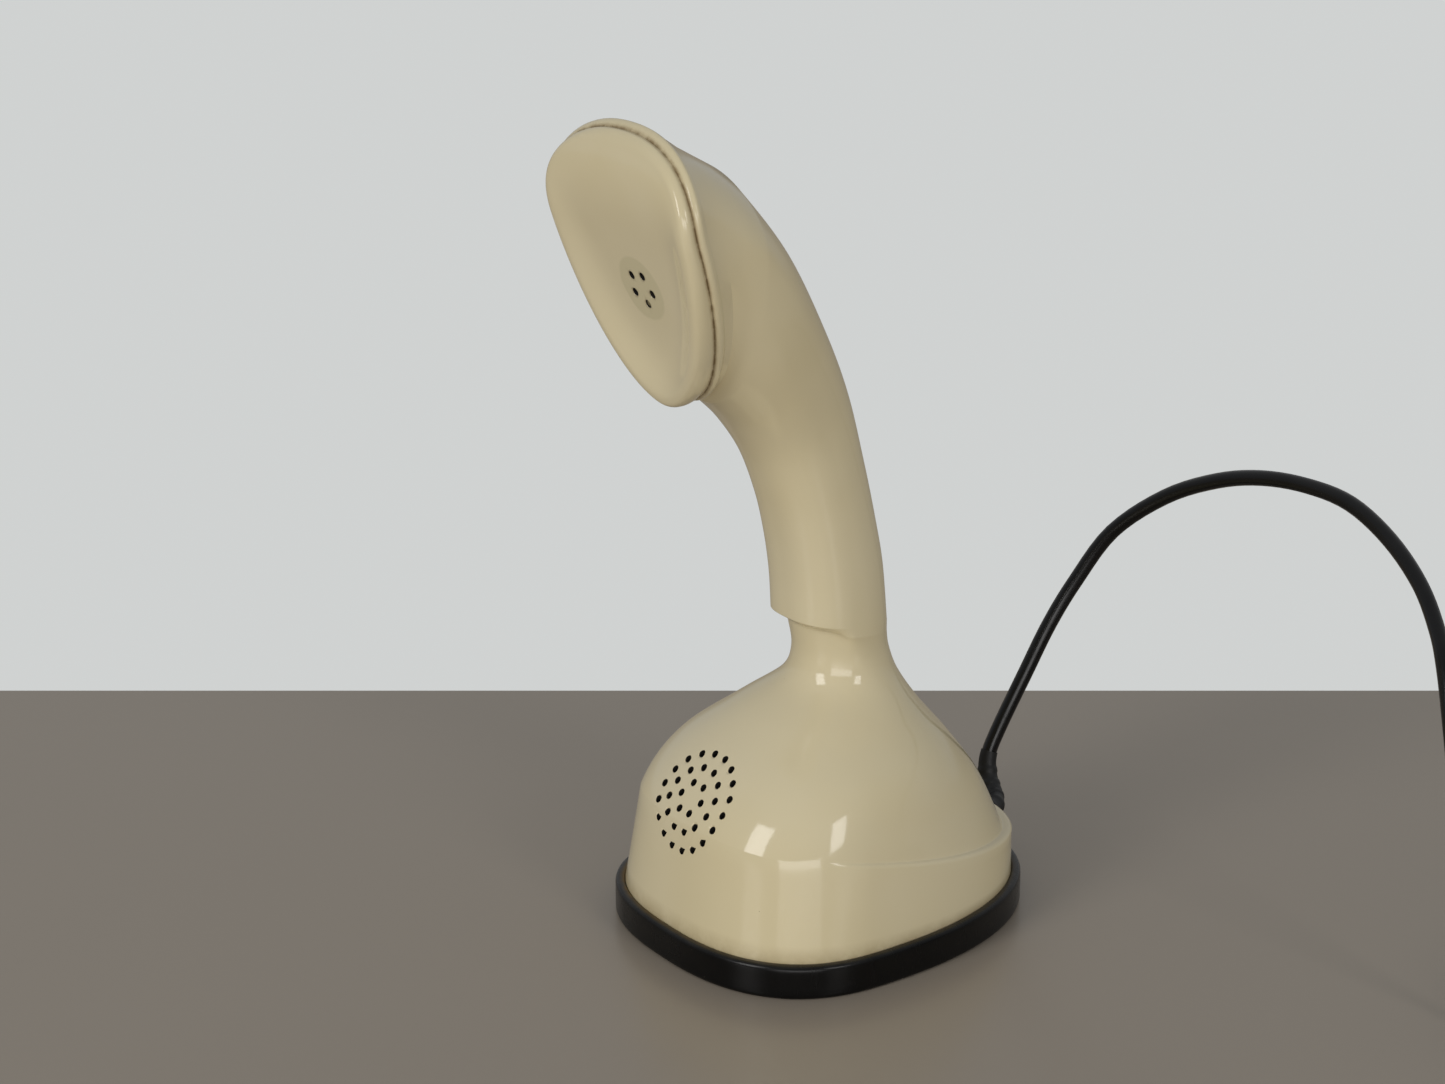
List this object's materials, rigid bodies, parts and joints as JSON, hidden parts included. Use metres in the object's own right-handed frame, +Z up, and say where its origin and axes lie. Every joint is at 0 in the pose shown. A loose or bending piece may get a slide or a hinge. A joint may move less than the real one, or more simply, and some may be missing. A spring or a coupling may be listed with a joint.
{
  "type": "desk telephone",
  "caption": "Upright one-piece desk telephone with ear cap, microphone holes, underside dial and hook button, and a corded plug.",
  "frame": {"origin": "under the middle of the telephone, on the table it stands on, measured without the cord", "axes": "+Z up, the microphone and ear cap face -Y, the cord leaves towards +Y"},
  "size_m": [0.2762, 0.2696, 0.233],
  "materials": {
    "ivory_plastic": "polished moulding, aged ivory",
    "black_rubber": "moulded rubber, dull",
    "bottom_plate": "moulded, matt black",
    "finger_wheel": "moulded, satin grey",
    "number_plate": "ivory ring with the dial numerals",
    "red_plastic": "moulded, polished red",
    "grey_plastic": "moulded, matt grey",
    "board": "pressed insulating board",
    "capacitor": "drawn can",
    "coil_tie": "plain tie",
    "plug": "moulded black plug",
    "cord": "smooth black sheath",
    "steel": "zinc plated",
    "screws": "zinc plated screw",
    "brass": "turned and stamped",
    "copper": "enamelled wire"
  },
  "bodies": {
    "root": {"housing": "ivory_plastic", "ear_cap": "ivory_plastic", "cap_gasket": "black_rubber", "receiver_capsule": "steel", "receiver_grid": "brass", "receiver_clamp": "steel", "receiver_screws": "screws", "mic_capsule": "steel", "mic_gasket": "black_rubber", "mic_bracket": "steel", "mic_bracket_screws": "screws", "base_ring": "black_rubber", "bottom_plate": "bottom_plate", "bottom_screws": "screws", "shell_screws": "screws", "chassis_plate": "steel", "number_plate": "number_plate", "dial_base": "grey_plastic", "dial_screws": "screws", "finger_stop": "steel", "finger_stop_screw": "screws", "return_spring": "steel", "governor_drum": "steel", "dial_bridge": "steel", "pulse_contacts": "board", "button_spring": "steel", "hook_contacts": "board", "transformer_core": "steel", "transformer_coil": "copper", "capacitor": "capacitor", "terminal_block": "board", "terminal_screws": "brass", "wire_loom": "cord", "cord_grommet": "black_rubber", "cord_clamp": "steel", "cord_tube": "cord", "cord_coil": "cord", "coil_tie": "coil_tie", "plug_body": "plug", "plug_pins": "brass"},
    "dial": {"finger_wheel": "finger_wheel", "main_gear": "brass", "hub_clip": "steel"},
    "pinion": {"pinion_spindle": "brass", "impulse_cam": "grey_plastic"},
    "governor": {"governor_spindle": "brass", "governor_weights": "brass"},
    "hook": {"hook_button": "red_plastic", "stem_clip": "steel"}
  },
  "joints": [
    {"name": "dial_spin", "type": "hinge", "parent": "root", "child": "dial", "pos_m": [0, -0.00122, 0.0035], "axis": [0, 0, 1], "range_deg": [0, 335], "stiffness_Nm_per_rad": 0.002, "springref_deg": -28.65},
    {"name": "pinion_spin", "type": "hinge", "parent": "root", "child": "pinion", "pos_m": [0, 0.02288, 0.012], "axis": [0, 0, 1], "range_deg": [-1340, 0]},
    {"name": "governor_spin", "type": "hinge", "parent": "root", "child": "governor", "pos_m": [0.01137, 0.02702, 0.016], "axis": [0, 0, 1], "range_deg": [0, 4020]},
    {"name": "hook_slide", "type": "slide", "parent": "root", "child": "hook", "axis": [0, 0, -1], "range_m": [0, 0.006], "stiffness_N_per_m": 150, "springref_m": 0.0075, "deforming": ["button_spring"]}
  ],
  "couplings": [
    {"joint": "pinion_spin", "follows": "dial_spin", "ratio": -4},
    {"joint": "governor_spin", "follows": "dial_spin", "ratio": 12}
  ]
}
